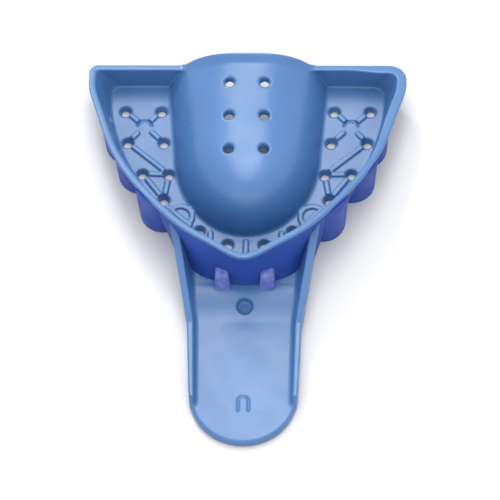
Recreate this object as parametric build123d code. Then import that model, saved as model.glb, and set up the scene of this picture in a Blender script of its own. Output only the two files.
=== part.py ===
from build123d import *
import os
from math import atan, cos, degrees, hypot, pi, sin

# Full-arch upper impression tray, one injection moulding split at its natural feature lines.
# Millimetres. +X to the right, +Y from the handle to the rear, +Z up; the tray rests on z = 0 and
# the origin lies under the middle of its bounding box.

# Driving sizes
FLOOR_T = 2.0  # trough floor, also the shell of the palate vault
WALL_T = 1.8
REAR_Y = 48.7  # rear edge of the tray
TIP_Y = -48.7  # end of the handle

RIM_Z, RIM_Y = 19.6, -9.4  # highest point of the rim, at the front
RIM_SLOPE = -0.1815  # the rim lies in one plane that falls towards the rear
LIP_T, LIP_W, LIP_OVERHANG = 1.2, 1.5, 0.4

# Right half of the outlines, from the front centre to the start of the rear corner
RIM = [(0, -9.4), (3.3, -8.35), (7.0, -5.85), (13.6, -1.25), (19.6, 4.55), (26.5, 13.15),
       (32.0, 22.95), (36.3, 36.45), (37.8, 43.4)]
FOOT = [(0, -8.05), (5.5, -7.65), (11.2, -6.1), (14.9, -2.15), (17.4, 5.05), (22.9, 14.45),
        (29.2, 24.05), (33.1, 35.15), (33.8, 41.35)]
RIM_CORNER = {"left": 2.2, "right": 4.2}  # the right rear corner is rounder, as on the real moulding
FOOT_CORNER = {"left": 5.2, "right": 5.2}

# Palate vault: a superelliptic arch that closes in an elliptical nose
NOSE_Y, NOSE_HALF, NOSE_LEN = 27.85, 17.05, 21.8
VAULT_REAR_HALF, VAULT_H = 18.85, 12.0
BAND_L, BAND_RISE = 2.4, 1.2  # upturned strip along the vault's rear edge
VAULT_HOLE_D, VAULT_HOLE_X, VAULT_HOLE_ROWS = 2.6, 4.2, (23.25, 32.35, 41.3)

# Trough holes, by letter, on the right side; the left side mirrors them
HOLE_D = 2.7
HOLES = {"a": (29.2, 39.9), "b": (20.6, 39.9), "c": (28.5, 31.3), "d": (19.9, 31.3),
         "e": (24.8, 22.8), "f": (18.5, 22.6), "g": (19.6, 15.75), "h": (11.0, 7.4),
         "i": (4.3, 3.8)}
DISC, DISC_R, DISC_DEPTH = (24.6, 35.7), 1.8, 0.3  # ejector mark where the crossed ribs would meet
VENT_Y, VENT_Z, VENT_D = 37.2, 3.6, 2.4  # single hole through the left wall

RIB_W, RIB_H, RIB_GAP = 1.1, 0.7, 0.4  # gap between a rib's end and the edge of its hole
RIBS = {"rear_outer": ("a", "disc"), "rear_inner": ("b", "disc"), "mid_outer": ("c", "disc"),
        "mid_inner": ("d", "disc"), "diagonal": ("c", "f"), "cross": ("e", "f"),
        "outer_brace": ("e", "g"), "inner_brace": ("f", "g")}
RING_C, RING_R, RING_T = (15.6, 11.15), 3.2, 0.8  # D-shaped locking ring
CHORD = ((13.3, 8.85), (18.9, 13.95))  # its straight side, parallel to the wall
FRONT_RIBS = {"front_rib_middle": (0.0, 1.05, 4.45), "front_rib_left": (-8.4, 4.45, 6.75),
              "front_rib_right": (8.4, 4.45, 6.75)}  # x, then from y to y

# Lobes: upright round columns outside the wall; those on the left sit a little further back
LOBE_R, LOBE_FLARE = 5.3, 1.3  # radius at the foot and its growth up to the top
LOBES = {"left": [(-19.8, 13.25), (-25.2, 23.65), (-28.4, 31.7)],
         "right": [(18.1, 10.85), (25.0, 21.35), (27.8, 30.65)]}

# Handle: a flat plate with a round end and two rails that climb the front wall
PLATE_T, ROOT_RISE = 2.2, 1.8
ROOT_Y = (-17.6, -7.65)  # where the plate's top starts and stops rising
HANDLE_HALF, KINK_HALF, KINK_Y, ROOT_HALF = 12.6, 13.2, -18.75, 15.9
# Rail sections: y, then z of the top, then half-widths: outer low, outer top, inner top, inner low
RAIL = [(-39.0, 2.6, 12.3, 12.3, 11.4, 10.6), (-38.0, 5.2, 12.4, 12.6, 11.5, 10.6),
        (-36.2, 5.2, 12.6, 12.8, 11.6, 10.65), (KINK_Y, 5.2, 13.2, 13.45, 11.95, 10.8),
        (-1.55, 12.3, 15.7, 16.75, 14.9, 11.3), (4.85, 14.9, 16.6, 18.0, 16.2, 11.5)]
DIMPLE_Y, DIMPLE_D, DIMPLE_DEPTH = -13.1, 3.8, 0.8
MARK_Y, MARK_W, MARK_H, MARK_LINE, MARK_DEPTH = -38.4, 3.0, 4.3, 0.6, 0.25
LUG_X, LUG_W, LUG_REACH, LUG_TOP = 5.3, 3.7, 1.4, 10.0

SIDES = {"left": -1, "right": 1}


def rim_z(y):
    return RIM_Z + RIM_SLOPE * (y - RIM_Y)


def inset(side, depth):
    """The half outline moved inwards along its own normals."""
    moved = []
    for i, (x, y) in enumerate(side):
        (x0, y0), (x1, y1) = side[max(i - 1, 0)], side[min(i + 1, len(side) - 1)]
        dx, dy = x1 - x0, y1 - y0
        if i == 0:
            dx, dy = 1, 0
        if i == len(side) - 1:
            dx, dy = 0, 1
        run = hypot(dx, dy)
        moved.append((x - depth * dy / run, y + depth * dx / run))
    return moved


def outline(side, rear_y, z_at, slope, corner):
    """Closed face through a half outline and its mirror image, with round rear corners."""
    def place(x, y):
        return (x, y, z_at(y))

    end_x = side[-1][0]

    def half(name):
        sign, radius = SIDES[name], corner[name]
        reach = radius * sin(pi / 4)
        points = [place(sign * x, y) for x, y in side]
        start, end = place(sign * end_x, rear_y - radius), place(sign * (end_x - radius), rear_y)
        bend = place(sign * (end_x - radius + reach), rear_y - radius + reach)
        flank = Spline(*points, tangents=[(sign, 0, 0), (0, 1, slope)], tangent_scalars=[1, 1])
        return [flank, Line(points[-1], start), ThreePointArc(start, bend, end)], end

    (right, right_end), (left, left_end) = half("right"), half("left")
    edges = right + [Line(right_end, left_end)] + left[::-1]
    return Face(Wire([e.edge() for e in edges]))


def bowl(foot_inset=0.0, rim_inset=0.0):
    """Solid between a foot outline on the table and an outline in the rim plane."""
    low = outline(inset(FOOT, foot_inset), REAR_Y - foot_inset, lambda y: 0.0, 0.0,
                  {k: r - foot_inset for k, r in FOOT_CORNER.items()})
    high = outline(inset(RIM, rim_inset), REAR_Y - rim_inset, rim_z, RIM_SLOPE,
                   {k: r - rim_inset for k, r in RIM_CORNER.items()})
    return loft([low, high], ruled=True)


def arch_face(half, height, base, bottom):
    """Right half of the vault's section, in the XZ plane."""
    steps = [i * pi / 2 / 8 for i in range(9)]
    points = [(half * sin(t) ** (2 / 3), 0, base + height * max(cos(t), 0) ** 1.6) for t in steps]
    crown, spring = points[0], (half, 0, base)
    curve = Spline(*points[:-1], spring, tangents=[(1, 0, 0), (0, 0, -1)], tangent_scalars=[1, 1])
    edges = [curve, Line(spring, (half, 0, bottom)), Line((half, 0, bottom), (0, 0, bottom)),
             Line((0, 0, bottom), crown)]
    return Face(Wire([e.edge() for e in edges]))


def both(solid):
    return solid + mirror(solid, Plane.YZ)


def vault_body(half, nose_len, height, base, bottom, shrink):
    """Filled vault from its nose to the rear strip."""
    quarter = revolve(arch_face(half, height, base, bottom), axis=Axis.Z, revolution_arc=-90)
    nose = Pos(0, NOSE_Y, 0) * scale(quarter, by=(1, nose_len / half, 1))
    ends = [Pos(0, NOSE_Y, 0) * arch_face(half, height, base, bottom),
            Pos(0, REAR_Y - BAND_L, 0) * arch_face(band_half(-BAND_L) - shrink, height, base, bottom)]
    return both(nose + loft(ends, ruled=True))


def band_half(dy):
    """Half width of the vault at a distance in front of its rear edge."""
    grow = (VAULT_REAR_HALF - NOSE_HALF) / (REAR_Y - NOSE_Y)
    return VAULT_REAR_HALF + grow * dy


def vault_band(height, base, bottom, shrink, over=0.0):
    """Filled upturned strip at the rear of the vault."""
    ends = [Pos(0, REAR_Y - BAND_L, 0) * arch_face(band_half(-BAND_L) - shrink, height, base, bottom),
            Pos(0, REAR_Y + over, 0) * arch_face(band_half(over) - shrink,
                                                 height + BAND_RISE * (1 + over / BAND_L), base, bottom)]
    return both(loft(ends, ruled=True))


def hole(x, y, diameter, low=-1, high=25):
    return Pos(x, y, (low + high) / 2) * Cylinder(diameter / 2, high - low)


def rib(start, end, clear_start=0.0, clear_end=0.0):
    """Low round-topped bar on the trough floor between two points."""
    dx, dy = end[0] - start[0], end[1] - start[1]
    run = hypot(dx, dy)
    first = (start[0] + dx * clear_start / run, start[1] + dy * clear_start / run)
    length = run - clear_start - clear_end
    bar = Box(length, RIB_W, RIB_H, align=(Align.MIN, Align.CENTER, Align.MIN))
    bar = fillet(bar.edges().group_by(Axis.Z)[-1], 0.3)
    place = Location((first[0], first[1], FLOOR_T), (0, 0, 1), degrees(angle_of(dx, dy)))
    return place * bar


def angle_of(dx, dy):
    return atan(dy / dx) if dx > 0 else atan(dy / dx) + pi if dx < 0 else pi / 2 * (1 if dy > 0 else -1)


def save(name, solid):
    solid = solid.solid() if len(solid.solids()) == 1 else solid
    solid.label = name
    export_step(solid, f"parts/{name}.step")


# Filled shapes that the walls are cut from
envelope = bowl(0, LIP_OVERHANG)
cavity = bowl(WALL_T, LIP_W)
rim_normal = Vector(0, -RIM_SLOPE, 1).normalized()
rim_plane = Plane(origin=(0, RIM_Y, RIM_Z), z_dir=rim_normal)
lip_slab = extrude(outline(RIM, REAR_Y, rim_z, RIM_SLOPE, RIM_CORNER), amount=LIP_T, dir=-rim_normal)
arch_full = (vault_body(NOSE_HALF, NOSE_LEN, VAULT_H, FLOOR_T, 0, 0)
             + vault_band(VAULT_H, FLOOR_T, 0, 0))
body_void = vault_body(NOSE_HALF - FLOOR_T, NOSE_LEN - FLOOR_T, VAULT_H, 0, -1, FLOOR_T)
band_void = vault_band(VAULT_H, 0, -1, FLOOR_T, over=0.5)


def make_wall():
    """Outer wall, and the two straight rear walls that close the ends of the trough."""
    shell = envelope - cavity - lip_slab
    straight = Pos(0, REAR_Y, 0) * Box(57, 7, 60)
    rear = (shell & straight) - arch_full
    outer = shell - straight
    outer -= Pos(-34, VENT_Y, VENT_Z) * Rot(0, 90, 0) * Cylinder(VENT_D / 2, 12)
    save("outer_wall", outer)
    for side, sign in SIDES.items():
        half = [s for s in rear.solids() if s.center().X * sign > 0]
        save(f"rear_wall_{side}", half[0])


def make_lip():
    lip = lip_slab - cavity - arch_full
    save("rim_lip", lip)


def make_vault():
    vault = vault_body(NOSE_HALF, NOSE_LEN, VAULT_H, FLOOR_T, 0, 0) - body_void
    for x in (-VAULT_HOLE_X, VAULT_HOLE_X):
        for y in VAULT_HOLE_ROWS:
            vault -= hole(x, y, VAULT_HOLE_D)
    save("palate_vault", vault)
    save("palate_rear_band", vault_band(VAULT_H, FLOOR_T, 0, 0) - band_void)


def make_floor():
    floor = (cavity & Pos(0, 0, FLOOR_T / 2) * Box(100, 120, FLOOR_T)) - arch_full
    for sign in SIDES.values():
        for x, y in HOLES.values():
            floor -= hole(sign * x, y, HOLE_D)
        floor -= hole(sign * DISC[0], DISC[1], 2 * DISC_R, low=FLOOR_T - DISC_DEPTH)
    save("trough_floor", floor)


def make_ribs():
    spots = dict(HOLES, disc=DISC)
    clear = {"disc": DISC_R + 0.15}
    for name, (a, b) in RIBS.items():
        bar = rib(spots[a], spots[b], clear.get(a, HOLE_D / 2 + RIB_GAP),
                  clear.get(b, HOLE_D / 2 + RIB_GAP))
        save(f"rib_right_{name}", bar)
        save(f"rib_left_{name}", mirror(bar, Plane.YZ))
    for name, (x, y0, y1) in FRONT_RIBS.items():
        save(name, rib((x, y0), (x, y1)))


def make_rings():
    """D-shaped rings: most of a round ridge, closed by a straight ridge along the wall."""
    (x0, y0), (x1, y1) = CHORD
    run = hypot(x1 - x0, y1 - y0)
    nx, ny = (y1 - y0) / run, -(x1 - x0) / run  # points at the wall
    ring = Cylinder(RING_R, RIB_H) - Cylinder(RING_R - RING_T, RIB_H)
    ring = Pos(*RING_C, FLOOR_T + RIB_H / 2) * ring
    beyond = Location((x0 + nx * 5, y0 + ny * 5, FLOOR_T), (0, 0, 1), degrees(angle_of(x1 - x0, y1 - y0)))
    ring -= beyond * Box(40, 10, 4)
    ring += rib(CHORD[0], CHORD[1])
    save("lock_ring_right", ring)
    save("lock_ring_left", mirror(ring, Plane.YZ))


def make_lobes():
    for side, centres in LOBES.items():
        others = None
        for i, (x, y) in enumerate(centres, start=1):
            column = Pos(x, y, 0) * Cone(LOBE_R, LOBE_R + LOBE_FLARE, RIM_Z,
                                         align=(Align.CENTER, Align.CENTER, Align.MIN))
            column = split(column, bisect_by=rim_plane, keep=Keep.BOTTOM)
            lobe = column - envelope - lip_slab
            if others:
                lobe -= others
            lobe = max(lobe.solids(), key=lambda s: s.volume)
            others = column
            save(f"side_lobe_{side}_{i}", lobe)


def below_plate_top():
    """Everything under the handle's top surface, which rises smoothly at its root."""
    y0, y1 = ROOT_Y
    low, high = (0, y0, PLATE_T), (0, y1, PLATE_T + ROOT_RISE)
    edges = [Line((0, TIP_Y - 5, 0), (0, TIP_Y - 5, PLATE_T)), Line((0, TIP_Y - 5, PLATE_T), low),
             Spline(low, high, tangents=[(0, 1, 0), (0, 1, 0.12)], tangent_scalars=[1, 1]),
             Line(high, (0, 12, PLATE_T + ROOT_RISE + 0.12 * (12 - y1))),
             Line((0, 12, PLATE_T + ROOT_RISE + 0.12 * (12 - y1)), (0, 12, 0)),
             Line((0, 12, 0), (0, TIP_Y - 5, 0))]
    return extrude(Face(Wire([e.edge() for e in edges])), amount=30, dir=(1, 0, 0), both=True)


def handle_outline():
    end_y = TIP_Y + HANDLE_HALF
    right = [(HANDLE_HALF, end_y), (KINK_HALF, KINK_Y), (ROOT_HALF, 0.6), (ROOT_HALF, 8)]
    left = [(-x, y) for x, y in reversed(right)]
    points = right + left
    edges = [Line(p, q) for p, q in zip(points, points[1:])]
    edges.append(ThreePointArc(points[-1], (0, TIP_Y), points[0]))
    return Face(Wire([e.edge() for e in edges]))


def arch_mark():
    """Plain horseshoe outline, the only mark on the handle."""
    r = MARK_W / 2
    straight = MARK_H - r
    path = [Box(MARK_LINE, straight, 1).moved(Location((sign * (r - MARK_LINE / 2), straight / 2, 0)))
            for sign in (-1, 1)]
    bend = Cylinder(r, 1) - Cylinder(r - MARK_LINE, 1)
    bend &= Pos(0, r / 2 + 2, 0) * Box(3 * r, r + 4, 2)
    return path[0] + path[1] + Pos(0, straight, 0) * (bend - Pos(0, -5, 0) * Box(20, 10, 2))


def make_handle():
    under = below_plate_top()
    plate = (extrude(handle_outline(), amount=10) & under) - envelope
    plate -= hole(0, DIMPLE_Y, DIMPLE_D, low=PLATE_T - DIMPLE_DEPTH)
    plate -= Pos(0, MARK_Y - MARK_H / 2, PLATE_T - MARK_DEPTH + 0.5) * arch_mark()
    save("handle_plate", max(plate.solids(), key=lambda s: s.volume))

    sections = []
    for y, top, out_low, out_top, in_top, in_low in RAIL:
        corners = [(in_low, y, 0), (out_low, y, 0), (out_top, y, top), (in_top, y, top)]
        sections.append(Face(Wire.make_polygon(corners)))
    rail = loft(sections, ruled=True) - under - envelope - lip_slab - cavity
    lobe = Pos(*LOBES["right"][0], 0) * Cylinder(LOBE_R, 60)
    rail = max((rail - lobe).solids(), key=lambda s: s.volume)
    save("handle_rail_right", rail)
    save("handle_rail_left", mirror(rail, Plane.YZ))

    wall_y = FOOT[0][1]
    base = PLATE_T + ROOT_RISE - 1
    side = Polyline((0, wall_y + 3, 0), (0, wall_y - LUG_REACH, 0), (0, wall_y - LUG_REACH, base + 1),
                    (0, wall_y - LUG_REACH + 0.3, LUG_TOP - 0.8), (0, wall_y - 0.7, LUG_TOP),
                    (0, wall_y + 3, LUG_TOP), close=True)
    block = extrude(Face(Wire(side.edges())), amount=LUG_W / 2, dir=(1, 0, 0), both=True)
    for name, sign in SIDES.items():
        save(f"root_lug_{name}", Pos(sign * LUG_X, 0, 0) * block - under - envelope)


os.makedirs("parts", exist_ok=True)
make_wall()
make_lip()
make_vault()
make_floor()
make_ribs()
make_rings()
make_lobes()
make_handle()
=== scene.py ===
"""Visual model of a dental impression tray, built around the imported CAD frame.

The tray is one injection moulding, so its surfaces run into each other in small fillets. Each piece
is therefore made as a distance field with rounded joints, on a fine grid, and then meshed. Sizes
below are in millimetres; meshes are in metres.
"""

import math

import bpy
import numpy as np
import openvdb
from mathutils import Matrix, Vector


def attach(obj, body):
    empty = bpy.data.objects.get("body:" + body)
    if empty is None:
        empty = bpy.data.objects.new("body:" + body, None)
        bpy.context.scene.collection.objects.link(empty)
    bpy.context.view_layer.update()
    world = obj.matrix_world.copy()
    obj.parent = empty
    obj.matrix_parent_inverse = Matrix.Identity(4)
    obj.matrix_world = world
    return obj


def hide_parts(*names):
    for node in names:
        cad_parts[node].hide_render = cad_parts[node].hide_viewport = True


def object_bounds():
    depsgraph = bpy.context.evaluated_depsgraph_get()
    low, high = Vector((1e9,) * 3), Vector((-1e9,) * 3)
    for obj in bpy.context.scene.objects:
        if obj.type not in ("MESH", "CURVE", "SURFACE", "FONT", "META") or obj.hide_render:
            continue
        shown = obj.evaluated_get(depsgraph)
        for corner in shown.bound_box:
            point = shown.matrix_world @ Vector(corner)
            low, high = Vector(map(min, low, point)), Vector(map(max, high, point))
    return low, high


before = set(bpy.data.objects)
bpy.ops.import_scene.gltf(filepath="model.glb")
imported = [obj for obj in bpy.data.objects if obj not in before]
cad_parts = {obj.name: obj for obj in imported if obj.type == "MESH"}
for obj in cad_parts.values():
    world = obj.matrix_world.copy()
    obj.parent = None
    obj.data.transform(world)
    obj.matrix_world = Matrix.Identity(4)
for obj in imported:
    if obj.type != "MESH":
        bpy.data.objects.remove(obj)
cad_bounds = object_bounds()

VOXEL = 0.25
MM = 0.001

# ---------------------------------------------------------------- sizes that repeat the CAD model's
FLOOR_T, WALL_FOOT = 2.0, 1.8
TIP_Y, REAR_Y = (corner[1] / MM for corner in cad_bounds)
RIM_Z, RIM_Y, RIM_SLOPE = 19.6, -9.4, -0.1815
RIM_COS = 0.984  # cosine of the rim plane's tilt
LIP_T, LIP_W, LIP_OVERHANG = 1.2, 1.5, 0.4
RIM = [(0, -9.4), (3.3, -8.35), (7.0, -5.85), (13.6, -1.25), (19.6, 4.55), (26.5, 13.15),
       (32.0, 22.95), (36.3, 36.45), (37.8, 43.4)]
FOOT = [(0, -8.05), (5.5, -7.65), (11.2, -6.1), (14.9, -2.15), (17.4, 5.05), (22.9, 14.45),
        (29.2, 24.05), (33.1, 35.15), (33.8, 41.35)]
RIM_CORNER = {"left": 2.2, "right": 4.2}
FOOT_CORNER = {"left": 5.2, "right": 5.2}

NOSE_Y, NOSE_HALF, NOSE_LEN, VAULT_REAR_HALF, VAULT_H = 27.85, 17.05, 21.8, 18.85, 12.0
VAULT_POWER, CROWN_POWER = 3, 1.25  # the section is width ** 3 + height ** 1.25 = 1
BAND_L, BAND_RISE = 2.4, 1.2
VAULT_HOLES = [(x, y) for x in (-4.2, 4.2) for y in (23.25, 32.35, 41.3)]
VAULT_HOLE_R, HOLE_R = 1.3, 1.35
HOLES = {"a": (29.2, 39.9), "b": (20.6, 39.9), "c": (28.5, 31.3), "d": (19.9, 31.3),
         "e": (24.8, 22.8), "f": (18.5, 22.6), "g": (19.6, 15.75), "h": (11.0, 7.4),
         "i": (4.3, 3.8)}
DISC = (24.6, 35.7)
VENT_Y, VENT_Z, VENT_R = 37.2, 3.6, 1.2
RIBS = [("a", "disc"), ("b", "disc"), ("c", "disc"), ("d", "disc"), ("c", "f"), ("e", "f"),
        ("e", "g"), ("f", "g")]
RING_C, RING_R, CHORD = (15.6, 11.15), 2.8, ((13.3, 8.85), (18.9, 13.95))
FRONT_RIBS = [((0, 1.05), (0, 4.45)), ((-8.4, 4.45), (-8.4, 6.75)), ((8.4, 4.45), (8.4, 6.75))]
LOBE_R, LOBE_FLARE = 5.3, 1.3
LOBES = {"left": [(-19.8, 13.25), (-25.2, 23.65), (-28.4, 31.7)],
         "right": [(18.1, 10.85), (25.0, 21.35), (27.8, 30.65)]}

PLATE_T, ROOT_RISE, ROOT_Y = 2.2, 1.8, (-17.6, -7.65)
HANDLE_HALF, KINK_HALF, KINK_Y, ROOT_HALF = 12.6, 13.2, -18.75, 15.9
# y, then z of the rail's top, then half-widths: outer low, outer top, inner top, inner low;
# the front end starts 0.2 lower than the CAD's
RAIL = np.array([(-39.0, 2.4, 12.3, 12.3, 11.4, 10.6), (-38.0, 5.2, 12.4, 12.6, 11.5, 10.6),
                 (-36.2, 5.2, 12.6, 12.8, 11.6, 10.65), (KINK_Y, 5.2, 13.2, 13.45, 11.95, 10.8),
                 (-1.55, 12.3, 15.7, 16.75, 14.9, 11.3), (4.85, 14.9, 16.6, 18.0, 16.2, 11.5)])
DIMPLE_Y, DIMPLE_R, DIMPLE_DEPTH = -13.1, 1.9, 0.8
MARK_Y, MARK_R, MARK_LINE = -38.4, 1.2, 0.3
LUG_X, LUG_W, LUG_REACH, LUG_TOP = 5.3, 3.7, 1.4, 10.0

# ---------------------------------------------------------------- details that the CAD has plainer
LIP_EXTRA = 0.8  # the lip is broader round the right rear corner
EXTRA_FROM, EXTRA_OVER = (24, 18), (8, 16)  # where that starts, and over what length it grows
NOSE_FULLNESS = 1.6  # how level the crown stays towards the nose
BAND_LEAD, BAND_RUN, BAND_GAIN = 0.5, 1.2, 1.1  # the rear strip rises in a soft curve
HOLE_DRAFT = 0.2  # loss of radius for each millimetre of depth
RIB_HALF, RIB_H = 0.62, 0.55
DISC_R, DISC_DEPTH, GROOVE_HALF = 1.7, 0.35, 0.26
DISC_GAP = {"a": 1.9, "b": 1.9, "c": 2.5, "d": 2.5}  # from the disc to each rib's end
MARK_BEND, MARK_LEG = 0.6, 1.9  # the bend's centre above the mark's middle, the legs' ends below
ROOT_SLOPE = 0.12  # of the plate's top behind its ramp

LIP_ROUND, LIP_FILLET = 0.3, 0.35
FLOOR_FILLET, PALATE_FILLET = 0.6, 0.8
HOLE_ROUND, VENT_ROUND = 0.55, 0.3
RIB_ROUND, RIB_FILLET = 0.3, 0.2
PLATE_ROUND, RAIL_ROUND, RAIL_FILLET = 0.9, 0.3, 0.7

# how far pieces run into their neighbours, so that no gap shows
FLOOR_UNDER_WALL, FLOOR_UNDER_VAULT = 0.4, 0.2
UNDER_LIP, LOBE_IN_WALL, HANDLE_IN_WALL = 0.1, 0.6, 0.5
OUTER_SKIN = 0.6  # depth to which a face still counts as the outside of the wall
OFF_TABLE = 0.01  # undersides stay this far above the floor

WALL_LEVELS = 7  # outlines between foot and rim, which the wall runs through
FLANK_POINTS, CORNER_POINTS, TIP_POINTS = 80, 9, 49
FIELD_REACH = 2.0  # distances are kept up to here
SKIN_TOLERANCE = 0.08


# ---------------------------------------------------------------- distance-field helpers
def smin(a, b, k):
    """Union with a fillet of about k."""
    h = np.maximum(k - np.abs(a - b), 0) / k
    return np.minimum(a, b) - h * h * (k * 0.25)


def smax(a, b, k):
    """Intersection with an edge rounded by about k."""
    return -smin(-a, -b, k)


def step(t):
    t = np.clip(t, 0, 1)
    return t * t * (3 - 2 * t)


def segment(x, y, a, b):
    """Distance in plan to the segment from a to b."""
    ex, ey = b[0] - a[0], b[1] - a[1]
    t = np.clip(((x - a[0]) * ex + (y - a[1]) * ey) / (ex * ex + ey * ey), 0, 1)
    return np.hypot(x - a[0] - ex * t, y - a[1] - ey * t)


def polygon_distance(x, y, poly):
    """Signed distance in plan to a closed polygon, negative inside."""
    best = np.full(np.broadcast(x, y).shape, 1e9)
    inside = np.zeros(best.shape, bool)
    for (ax, ay), (bx, by) in zip(poly, np.roll(poly, -1, axis=0)):
        ex, ey = bx - ax, by - ay
        if ex == 0 and ey == 0:
            continue
        wx, wy = x - ax, y - ay
        t = np.clip((wx * ex + wy * ey) / (ex * ex + ey * ey), 0, 1)
        best = np.minimum(best, (wx - ex * t) ** 2 + (wy - ey * t) ** 2)
        if ey != 0:
            inside ^= ((ay > y) != (by > y)) & (x < ax + ex * wy / ey)
    return np.where(inside, -1, 1) * np.sqrt(best)


def spline(points, start, end, count):
    """Smooth curve through points, with unit tangents given at its ends."""
    p = np.array(points, float)
    h = np.hypot(*np.diff(p, axis=0).T)
    t = np.r_[0, np.cumsum(h)]
    n = len(p)
    a, b = np.zeros((n, n)), np.zeros((n, 2))
    a[0, 0] = a[-1, -1] = 1
    b[0], b[-1] = start, end
    for i in range(1, n - 1):
        a[i, i - 1:i + 2] = h[i], 2 * (h[i - 1] + h[i]), h[i - 1]
        b[i] = 3 * (h[i] * (p[i] - p[i - 1]) / h[i - 1] + h[i - 1] * (p[i + 1] - p[i]) / h[i])
    m = np.linalg.solve(a, b)
    q = np.linspace(0, t[-1], count)
    k = np.clip(np.searchsorted(t, q, side="right") - 1, 0, n - 2)
    u, w = ((q - t[k]) / h[k])[:, None], h[k][:, None]
    return ((2 * u ** 3 - 3 * u ** 2 + 1) * p[k] + (u ** 3 - 2 * u ** 2 + u) * w * m[k]
            + (3 * u ** 2 - 2 * u ** 3) * p[k + 1] + (u ** 3 - u ** 2) * w * m[k + 1])


def outline(side, corner):
    """Closed outline of the tray in plan, from half an outline and its two corner radii."""
    def half(name, sign):
        r, a = corner[name], np.linspace(0, math.pi / 2, CORNER_POINTS)
        x = side[-1][0] - r
        bend = np.c_[x + r * np.cos(a), REAR_Y - r + r * np.sin(a)]
        flank = spline(side, (1, 0), (0, 1), FLANK_POINTS)
        return np.r_[flank, bend, [[0.0, REAR_Y]]] * [sign, 1]
    return np.r_[half("right", 1), half("left", -1)[::-1][1:-1]]


def rim_z(y):
    return RIM_Z + RIM_SLOPE * (y - RIM_Y)


def above_rim(g):
    """Distance above the rim plane, negative below."""
    return (g.z - rim_z(g.y)) * RIM_COS


class Grid:
    """Sample points of a box, and the distances that most pieces need."""

    def __init__(self, low, high):
        self.low = np.array(low, float)
        count = [int(math.ceil((b - a) / VOXEL)) + 1 for a, b in zip(low, high)]
        axes = [(a + VOXEL * np.arange(n)).astype(np.float32) for a, n in zip(low, count)]
        self.x = axes[0][:, None, None]
        self.y = axes[1][None, :, None]
        self.z = axes[2][None, None, :]
        self.shape = tuple(count)

    def near(self, x, y, reach):
        """Slices of the columns within reach of a point in plan."""
        cuts = []
        for value, low, count in zip((x, y), self.low, self.shape):
            first = max(int((value - reach - low) / VOXEL), 0)
            last = min(int((value + reach - low) / VOXEL) + 2, count)
            cuts.append(slice(first, max(last, first)))
        return tuple(cuts)

    def side(self):
        """Horizontal distance from the wall's flared outline, negative inside, and the height share."""
        foot, rim = outline(FOOT, FOOT_CORNER), outline(RIM, RIM_CORNER)
        x, y = self.x[:, :, 0], self.y[:, :, 0]
        flat = np.stack([polygon_distance(x, y, foot + (rim - foot) * k / (WALL_LEVELS - 1))
                         for k in range(WALL_LEVELS)]).astype(np.float32)
        self.rim = flat[-1][:, :, None]
        share = np.clip(self.z / rim_z(self.y), 0, 1)[0]
        place = share * (WALL_LEVELS - 1)
        low = np.minimum(place.astype(int), WALL_LEVELS - 2)
        part = (place - low).astype(np.float32)
        rows = np.arange(self.shape[1])[:, None]
        across = flat.transpose(0, 2, 1)
        value = across[low, rows] * (1 - part)[..., None] + across[low + 1, rows] * part[..., None]
        return value.transpose(2, 0, 1), share[None].astype(np.float32)

    def outer(self):
        """Horizontal distance from the wall's outer face, negative inside."""
        d, share = self.side()
        return d + LIP_OVERHANG * share


def arch(g, trim, base):
    """Distance from the filled vault: its superelliptic section, closed in an elliptical nose.

    The crown stays level further towards the nose than it does towards the sides."""
    grow = (VAULT_REAR_HALF - NOSE_HALF) / (REAR_Y - NOSE_Y)
    half = NOSE_HALF - trim + grow * np.maximum(g.y - NOSE_Y, 0)
    ahead = np.maximum(NOSE_Y - g.y, 0) / (NOSE_LEN - trim)
    u = np.maximum(np.hypot(g.x / half, ahead), 1e-3)
    strip = step((g.y - REAR_Y + BAND_L + BAND_LEAD) / (BAND_L + BAND_RUN))
    height = VAULT_H + BAND_RISE * strip * BAND_GAIN
    h = np.maximum((g.z - base) / height, 1e-4)
    power = VAULT_POWER + NOSE_FULLNESS * (ahead / u) ** 2
    slope_u = power * u ** (power - 1) * np.hypot(g.x / half ** 2, ahead / (NOSE_LEN - trim)) / u
    slope_z = CROWN_POWER * h ** (CROWN_POWER - 1) / height
    distance = (h ** CROWN_POWER + u ** power - 1) / np.hypot(slope_u, slope_z)
    return np.clip(distance, -2 * FIELD_REACH, 2 * FIELD_REACH).astype(np.float32)


def sample(field, at):
    """Trilinear values of a field at grid positions."""
    low = np.clip(at.astype(int), 0, np.array(field.shape) - 2)
    f = at - low
    total = 0
    for i in (0, 1):
        for j in (0, 1):
            for k in (0, 1):
                w = (abs(1 - i - f[:, 0]) * abs(1 - j - f[:, 1]) * abs(1 - k - f[:, 2]))
                total = total + w * field[low[:, 0] + i, low[:, 1] + j, low[:, 2] + k]
    return total


def slope(field, at):
    """Gradient of a field at grid positions, for one grid step."""
    reach = 0.6
    parts = []
    for axis in range(3):
        shift = np.zeros(3)
        shift[axis] = reach
        parts.append(sample(field, at + shift) - sample(field, at - shift))
    return np.stack(parts, axis=1) / (2 * reach)


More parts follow.
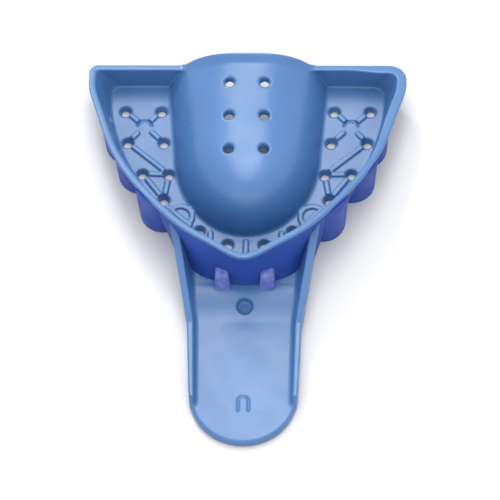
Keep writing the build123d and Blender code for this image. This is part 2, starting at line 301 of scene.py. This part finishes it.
def make_piece(name, field, g, skin=None, outside=None):
    """Meshes the zero level of a field, with smooth normals taken from the field of the whole skin.

    Faces where the field called outside is negative take the piece's second material, which has painted
    shade."""
    volume = openvdb.FloatGrid(FIELD_REACH)
    volume.copyFromArray(np.clip(field, -FIELD_REACH, FIELD_REACH).astype(np.float32))
    points, tris, quads = volume.convertToPolygons(isovalue=0.0, adaptivity=0.0)
    points = np.asarray(points, float)
    grad = slope(field, points)
    length = np.maximum(np.sum(grad * grad, axis=1), 1e-6)
    move = sample(field, points) / length
    points = points - grad * np.clip(move, -0.5, 0.5)[:, None]
    if skin is None:
        skin = field
    on_skin = np.abs(sample(skin, points)) < SKIN_TOLERANCE
    normal = np.where(on_skin[:, None], slope(skin, points), slope(field, points))
    normal /= np.maximum(np.linalg.norm(normal, axis=1), 1e-9)[:, None]

    place = (g.low + points * VOXEL) * MM
    tris, quads = np.asarray(tris, int).reshape(-1, 3), np.asarray(quads, int).reshape(-1, 4)
    mesh = bpy.data.meshes.new(name)
    mesh.vertices.add(len(place))
    mesh.vertices.foreach_set("co", place.astype(np.float32).ravel())
    loops = np.concatenate([tris.ravel(), quads.ravel()])
    mesh.loops.add(len(loops))
    mesh.loops.foreach_set("vertex_index", loops.astype(np.int32))
    starts = np.r_[np.arange(len(tris)) * 3, len(tris) * 3 + np.arange(len(quads)) * 4]
    mesh.polygons.add(len(starts))
    mesh.polygons.foreach_set("loop_start", starts.astype(np.int32))
    mesh.update(calc_edges=True)
    mesh.validate()
    face = mesh.polygons[len(mesh.polygons) // 2]
    if Vector(normal[face.vertices[0]]).dot(face.normal) < 0:
        mesh.flip_normals()
    if outside is not None:
        mesh["outer_faces"] = 1
        firsts = loops[starts]
        second = (sample(outside, points[firsts]) < 0).astype(np.int32)
        mesh.polygons.foreach_set("material_index", second)
    mesh.polygons.foreach_set("use_smooth", np.ones(len(mesh.polygons), bool))
    mesh.normals_split_custom_set_from_vertices([tuple(n) for n in normal])
    piece = bpy.data.objects.new(name, mesh)
    bpy.context.scene.collection.objects.link(piece)
    print("piece", name, len(mesh.polygons), "faces")
    return piece


# ---------------------------------------------------------------- the trough and the palate
def trough():
    """Fields of the whole trough with its palate, of the cavity and of the vault."""
    g = Grid((-39.5, -11.0, -1.0), (39.5, 50.0, 21.0))
    d, share = g.side()
    outer = d + LIP_OVERHANG * share
    grown = [step((at - start) / over) for at, start, over in zip((g.x, g.y), EXTRA_FROM, EXTRA_OVER)]
    lip_w = LIP_W + LIP_EXTRA * grown[0] * grown[1]
    lip_w = lip_w.astype(np.float32)
    cavity = d + WALL_FOOT + (lip_w - WALL_FOOT) * share
    up = above_rim(g)
    vault, void = arch(g, 0, FLOOR_T), arch(g, FLOOR_T, 0)

    wall = smax(np.maximum(outer, -cavity), up + LIP_ROUND, 0.2)
    # rounded strip in the rim plane
    a = np.abs(g.rim + lip_w / 2) - (lip_w / 2 - LIP_ROUND)
    b = np.abs(up + LIP_T / 2) - (LIP_T / 2 - LIP_ROUND)
    lip = np.hypot(np.maximum(a, 0), np.maximum(b, 0)) + np.minimum(np.maximum(a, b), 0) - LIP_ROUND
    wall = smin(wall, lip, LIP_FILLET)
    wall = np.maximum(wall, -vault)

    shell = smax(smax(vault, -void, 0.3), g.y - REAR_Y, 0.5)
    floor = np.maximum(g.z - FLOOR_T, cavity - FLOOR_UNDER_WALL)
    floor = np.maximum(floor, -vault - FLOOR_UNDER_VAULT)
    add_ribs(g, floor)
    body = smin(smin(wall, floor, FLOOR_FILLET), shell, PALATE_FILLET)

    for x, y in VAULT_HOLES:
        pierce(g, body, x, y, VAULT_HOLE_R, 99)
    for x, y in HOLES.values():
        for sign in (-1, 1):
            pierce(g, body, sign * x, y, HOLE_R, FLOOR_T)
    cut_vent(g, body)
    body = np.maximum(body, OFF_TABLE - g.z)
    # outside of the wall below the lip: these faces get the material with painted shade
    outside = np.maximum(-OUTER_SKIN - outer, up + LIP_T)
    return g, body, cavity, vault, outside.astype(np.float32)


def add_ribs(g, floor):
    spots = dict(HOLES, disc=DISC)
    for sign in (-1, 1):
        for a, b in RIBS:
            start, end = (np.array(spots[n]) * [sign, 1] for n in (a, b))
            if b == "disc":
                end = end + (start - end) * DISC_GAP[a] / np.hypot(*(start - end))
            bar(g, floor, start, end)
        bar(g, floor, *(np.array(p) * [sign, 1] for p in CHORD))
        cx, cy = RING_C[0] * sign, RING_C[1]
        (ax, ay), (bx, by) = CHORD
        cut = g.near(cx, cy, 6)
        x, y = g.x[cut[0]], g.y[:, cut[1]]
        ring = np.hypot(x - cx, y - cy) - RING_R
        beyond = ((x * sign - ax) * (by - ay) - (y - ay) * (bx - ax)) / math.hypot(bx - ax, by - ay)
        ridge = smax(np.abs(ring) - RIB_HALF, g.z - FLOOR_T - RIB_H, RIB_ROUND)
        floor[cut] = smin(floor[cut], np.maximum(ridge, beyond), RIB_FILLET)
        cut = g.near(sign * DISC[0], DISC[1], 3)
        x, y = g.x[cut[0]], g.y[:, cut[1]]
        # the ejector disc shows as a groove round its rear half
        groove = np.abs(np.hypot(x - sign * DISC[0], y - DISC[1]) - DISC_R) - GROOVE_HALF
        groove = np.maximum(np.maximum(groove, DISC[1] + 0.2 - y), FLOOR_T - DISC_DEPTH - g.z)
        floor[cut] = smax(floor[cut], -groove, 0.15)
    for a, b in FRONT_RIBS:
        bar(g, floor, np.array(a), np.array(b))


def bar(g, floor, a, b):
    """Rib with a level top and softly rounded edges on the trough floor."""
    middle, reach = (a + b) / 2, np.hypot(*(b - a)) / 2 + 2
    cut = g.near(middle[0], middle[1], reach)
    away = segment(g.x[cut[0]], g.y[:, cut[1]], a, b)
    ridge = smax(away - RIB_HALF, g.z - FLOOR_T - RIB_H, RIB_ROUND)
    floor[cut] = smin(floor[cut], ridge, RIB_FILLET)


def arch_height(x, y):
    """Height of the vault's top over a point of the palate, or very high elsewhere."""
    grow = (VAULT_REAR_HALF - NOSE_HALF) * max(y - NOSE_Y, 0) / (REAR_Y - NOSE_Y)
    u = math.hypot(abs(x) / (NOSE_HALF + grow), max(NOSE_Y - y, 0) / NOSE_LEN)
    return FLOOR_T + VAULT_H * (1 - u ** VAULT_POWER) ** (1 / CROWN_POWER) if u < 1 else 99.0


def pierce(g, body, x, y, radius, top):
    """Round hole that narrows downwards, as a moulding pin leaves it, with softly rounded edges."""
    cut = g.near(x, y, radius + 1.5)
    surface = np.minimum(arch_height(x, y), top)
    draft = HOLE_DRAFT * np.clip(surface - g.z, 0, FLOOR_T)
    tube = np.hypot(g.x[cut[0]] - x, g.y[:, cut[1]] - y) - radius + draft
    clearance = 1.6
    tube = np.maximum(tube, g.z - top - clearance)
    body[cut] = smax(body[cut], -tube, HOLE_ROUND)


def cut_vent(g, body):
    """Small level bore through the left wall, which ends in the trough."""
    wall_x, end_x = -33.5, -29.5
    cut = g.near(wall_x, VENT_Y, 5)
    tube = np.hypot(g.y[:, cut[1]] - VENT_Y, g.z - VENT_Z) - VENT_R
    tube = np.maximum(tube, g.x[cut[0]] - end_x)
    body[cut] = smax(body[cut], -tube, VENT_ROUND)


def build_trough():
    g, body, cavity, vault, outside = trough()
    fillet, lap, drop = 0.35, 0.3, 0.004
    # the palate keeps its fillet; the wall and the floor run a little way under their neighbours
    palate = make_piece("palate_shell", np.maximum(body, vault - fillet), g, body)
    wall = np.maximum(np.maximum(body + drop, fillet - lap - vault), -cavity - fillet)
    wall = make_piece("trough_wall_and_lip", wall, g, body, outside)
    field = np.maximum(np.maximum(body + 2 * drop, fillet - lap - vault), cavity + fillet - lap)
    floor = make_piece("trough_floor_ribbed", field, g, body)
    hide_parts("palate_vault", "palate_rear_band")
    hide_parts("outer_wall", "rim_lip", "rear_wall_left", "rear_wall_right")
    low = [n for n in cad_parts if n.startswith(("rib_", "front_rib", "lock_ring"))]
    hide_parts("trough_floor", *low)
    return [palate, wall, floor]


def build_lobes():
    made = []
    for side, centres in LOBES.items():
        for i, (x, y) in enumerate(centres, start=1):
            g = Grid((x - 8, y - 8, -0.8), (x + 8, y + 8, 19.5))
            radius = LOBE_R + LOBE_FLARE * g.z / RIM_Z
            column = np.hypot(g.x - x, g.y - y) - radius
            top = above_rim(g) + LIP_T - UNDER_LIP
            field = smax(column, top, 0.5)
            field = smax(field, 2 * OFF_TABLE - g.z, 0.3)
            field = np.maximum(field, -g.outer() - LOBE_IN_WALL)
            piece = make_piece(f"lobe_{side}_{i}", field, g)
            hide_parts(f"side_lobe_{side}_{i}")
            made.append(piece)
    return made


# ---------------------------------------------------------------- the handle
def plate_top(y):
    y0, y1 = ROOT_Y
    t = np.clip((y - y0) / (y1 - y0), 0, 1)
    return PLATE_T + ROOT_RISE * step(t) + ROOT_SLOPE * np.maximum(y - y1, 0)


def handle_outline():
    a = np.linspace(0, math.pi, TIP_POINTS)
    bend = np.c_[-HANDLE_HALF * np.cos(a), TIP_Y + HANDLE_HALF - HANDLE_HALF * np.sin(a)]
    return np.r_[bend, [(KINK_HALF, KINK_Y), (ROOT_HALF, -0.55), (ROOT_HALF, 3.0), (-ROOT_HALF, 3.0),
                        (-ROOT_HALF, -0.55), (-KINK_HALF, KINK_Y)]]


def rail_field(g):
    y = np.clip(g.y, RAIL[0, 0], RAIL[-1, 0])
    top, out_low, out_top, in_top, in_low = (np.interp(y, RAIL[:, 0], RAIL[:, k]).astype(np.float32)
                                             for k in range(1, 6))
    rise = np.clip(g.z / top, 0, 1.1)
    outside = np.abs(g.x) - (out_low + (out_top - out_low) * rise)
    inside = (in_low + (in_top - in_low) * rise) - np.abs(g.x)
    lean = np.where(g.y > KINK_Y, 0.92, 1.0)  # cosine of the tilt of the rail's top
    body = smax(smax(outside, inside, RAIL_ROUND), (g.z - top) * lean, RAIL_ROUND)
    return smax(body, RAIL[0, 0] - 0.1 - g.y, 0.4)


def mark_field(g):
    """Plain horseshoe, the only mark on the handle."""
    x, y = np.abs(g.x), g.y - MARK_Y
    bend = np.abs(np.hypot(x, np.maximum(y - MARK_BEND, 0)) - MARK_R)
    legs = np.where(y < MARK_BEND, np.hypot(x - MARK_R, np.minimum(y + MARK_LEG, 0)), bend)
    return np.hypot(legs, g.z - PLATE_T) - MARK_LINE


def build_handle():
    g = Grid((-19.5, -50.0, -1.0), (19.5, 7.0, 17.5))
    plan = polygon_distance(g.x[:, :, 0], g.y[:, :, 0], handle_outline())[:, :, None]
    plate = smax(plan.astype(np.float32), g.z - plate_top(g.y), PLATE_ROUND)
    pit = np.hypot(g.x, g.y - DIMPLE_Y) - DIMPLE_R
    pit = smax(pit, PLATE_T - DIMPLE_DEPTH - g.z, 0.6)
    plate = smax(plate, -pit, 0.35)
    plate = smax(plate, -mark_field(g), 0.2)
    field = smin(plate, rail_field(g), RAIL_FILLET)
    field = np.maximum(field, above_rim(g) + LIP_T - UNDER_LIP)
    field = smax(field, OFF_TABLE - g.z, 0.3)
    field = np.maximum(field, -g.outer() - HANDLE_IN_WALL)
    handle = make_piece("handle_with_rails", field, g)
    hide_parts("handle_plate", "handle_rail_left", "handle_rail_right")
    return handle


def build_lugs():
    made = []
    rng = np.random.default_rng(5)
    for side, sign in (("left", -1), ("right", 1)):
        wall_y, x = FOOT[0][1], sign * LUG_X
        g = Grid((x - 3.5, wall_y - 4, 1.5), (x + 3.5, wall_y + 3, 12))
        half = LUG_W / 2 + 0.1 - 0.06 * (g.z - 3)
        sides = np.abs(g.x - x) - half
        face = (wall_y - LUG_REACH + 0.07 * (g.z - 3.5)) - g.y
        field = smax(smax(sides, face, 0.7), g.z - LUG_TOP, 1.2)
        bumps = sum(rng.uniform(0.4, 1) * np.sin(a * g.x + p) * np.sin(b * g.z + q) * np.cos(c * g.y)
                    for a, b, c, p, q in rng.uniform(1.2, 4.5, (7, 5)))
        field = field + 0.045 * bumps
        field = np.maximum(field, -g.outer() - HANDLE_IN_WALL)
        field = np.maximum(field, 2.4 - g.z)  # the foot sinks into the plate's ramp
        piece = make_piece(f"root_lug_rough_{side}", field.astype(np.float32), g)
        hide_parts(f"root_lug_{side}")
        made.append(piece)
    return made


# ---------------------------------------------------------------- materials
def plastic(name, deep, light, rough, bump, cloud, speck, gloss=0.5):
    """Moulded plastic: faint clouds in colour and gloss, and a fine moulded grain."""
    mat = bpy.data.materials.new(name)
    mat.use_nodes = True
    nodes, links = mat.node_tree.nodes, mat.node_tree.links
    shader = nodes["Principled BSDF"]
    shader.inputs["IOR"].default_value = 1.49
    shader.inputs["Specular IOR Level"].default_value = gloss
    coords = nodes.new("ShaderNodeTexCoord")

    def noise(scale, detail, roughness=0.5):
        n = nodes.new("ShaderNodeTexNoise")
        n.inputs["Scale"].default_value = scale
        n.inputs["Detail"].default_value = detail
        n.inputs["Roughness"].default_value = roughness
        links.new(coords.outputs["Object"], n.inputs["Vector"])
        return n.outputs["Fac"]

    def span(value, low, high, start=0.35, end=0.65):
        n = nodes.new("ShaderNodeMapRange")
        for key, v in (("From Min", start), ("From Max", end), ("To Min", low), ("To Max", high)):
            n.inputs[key].default_value = v
        links.new(value, n.inputs["Value"])
        return n.outputs["Result"]

    mix = nodes.new("ShaderNodeMix")
    mix.data_type = "RGBA"
    mix.inputs["A"].default_value = (*deep, 1)
    mix.inputs["B"].default_value = (*light, 1)
    links.new(span(noise(cloud, 4), 0, 1), mix.inputs["Factor"])
    links.new(mix.outputs["Result"], shader.inputs["Base Color"])
    links.new(span(noise(cloud * 2.3, 3), rough[0], rough[1]), shader.inputs["Roughness"])

    fine, coarse = nodes.new("ShaderNodeBump"), nodes.new("ShaderNodeBump")
    for node, strength, height in ((fine, bump, 0.00004), (coarse, 0.25, 0.0002)):
        node.inputs["Strength"].default_value = strength
        node.inputs["Distance"].default_value = height
    links.new(noise(speck, 3, 0.6), fine.inputs["Height"])
    links.new(noise(170, 2), coarse.inputs["Height"])
    links.new(coarse.outputs["Normal"], fine.inputs["Normal"])
    links.new(fine.outputs["Normal"], shader.inputs["Normal"])
    shader.inputs["Subsurface Weight"].default_value = 0.08
    shader.inputs["Subsurface Scale"].default_value = 0.002
    shader.inputs["Subsurface Radius"].default_value = (0.3, 0.5, 1.0)
    return mat


def assign(piece, mat):
    piece.data.materials.append(mat)
    # the second material carries painted shade on the wall's outside
    if "outer_faces" in piece.data:
        piece.data.materials.append(outer_blue_painted_shade)
    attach(piece, "root")


tray_blue = plastic("tray_blue", deep=(0.048, 0.135, 0.315), light=(0.060, 0.154, 0.350),
                    rough=(0.27, 0.35), bump=0.35, cloud=60, speck=2600)
# the outside of the wall and the lobes is duller, and its deeper colour is painted shade
outer_blue_painted_shade = plastic("outer_blue_painted_shade", deep=(0.019, 0.052, 0.265), light=(0.024, 0.061, 0.30),
                     rough=(0.45, 0.6), bump=0.5, cloud=90, speck=2200, gloss=0.18)
# the lugs were cut off, and are paler and rough
cut_blue = plastic("cut_blue", deep=(0.085, 0.125, 0.42), light=(0.15, 0.195, 0.50),
                   rough=(0.5, 0.7), bump=0.9, cloud=900, speck=3500)

for piece in build_trough() + [build_handle()]:
    assign(piece, tray_blue)
# the lobes take the material with painted shade all over
for piece in build_lobes():
    assign(piece, outer_blue_painted_shade)
for piece in build_lugs():
    assign(piece, cut_blue)
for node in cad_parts.values():
    for place in node.material_slots:
        place.material = tray_blue


# ---------------------------------------------------------------- camera, floor and lights
def place_camera():
    """Looks down from the handle's side: heading, height and roll in degrees, field in metres."""
    heading, height, roll, distance, field = 2.96, 61.31, 2.44, 1.5, 0.1179
    aim = (0.00101, 0.0040)  # the view's middle, across and up the view
    az, el = math.radians(heading), math.radians(height)
    away = Vector((math.sin(az) * math.cos(el), -math.cos(az) * math.cos(el), math.sin(el)))
    turn = away.to_track_quat("Z", "Y").to_matrix() @ Matrix.Rotation(math.radians(-roll), 3, "Z")
    data = bpy.data.cameras.new("camera")
    sensor = 36  # millimetres, as the lens
    data.sensor_width = sensor
    data.lens = sensor * distance / field
    data.clip_end = 10
    camera = bpy.data.objects.new("camera", data)
    bpy.context.scene.collection.objects.link(camera)
    centre = Vector((0, -0.00115, 0))  # the point of the tray that the aim is measured from
    target = turn @ Vector((aim[0], aim[1], 0)) + centre
    camera.matrix_world = Matrix.Translation(target + away * distance) @ turn.to_4x4()
    bpy.context.scene.camera = camera


def softbox(name, at, width, depth, power):
    """Rectangular light that faces the origin."""
    data = bpy.data.lights.new(name, "AREA")
    data.shape, data.size, data.size_y = "RECTANGLE", width, depth
    data.energy = power
    lamp = bpy.data.objects.new(name, data)
    bpy.context.scene.collection.objects.link(lamp)
    lamp.location = at
    lamp.rotation_euler = Vector(at).to_track_quat("Z", "Y").to_euler()


def build_floor():
    """Plain pale sheet under the tray."""
    name, r, grey, rough = "studio_floor", 3.0, 0.63, 0.9
    corners = [(-r, -r, 0), (r, -r, 0), (r, r, 0), (-r, r, 0)]
    mesh = bpy.data.meshes.new(name)
    mesh.from_pydata(corners, [], [(0, 1, 2, 3)])
    sheet = bpy.data.objects.new(name, mesh)
    bpy.context.scene.collection.objects.link(sheet)
    mat = bpy.data.materials.new(name)
    mat.use_nodes = True
    shader = mat.node_tree.nodes["Principled BSDF"]
    shader.inputs["Base Color"].default_value = (grey, grey, grey, 1)
    shader.inputs["Roughness"].default_value = rough
    mesh.materials.append(mat)


def build_studio():
    build_floor()
    world = bpy.data.worlds.new("studio")
    world.use_nodes = True
    sky = world.node_tree.nodes["Background"]
    sky.inputs["Color"].default_value = (1, 1, 1, 1)
    sky.inputs["Strength"].default_value = 1.18
    bpy.context.scene.world = world
    softbox("rear_top", at=(0.0, 0.28, 0.80), width=0.28, depth=0.58, power=3.5)
    softbox("key", at=(-0.20, 0.66, 0.60), width=0.14, depth=0.14, power=2.0)
    softbox("fill", at=(0.0, -0.70, 0.60), width=1.1, depth=0.6, power=2.0)
    bpy.context.scene.view_settings.view_transform = "Standard"


place_camera()
build_studio()
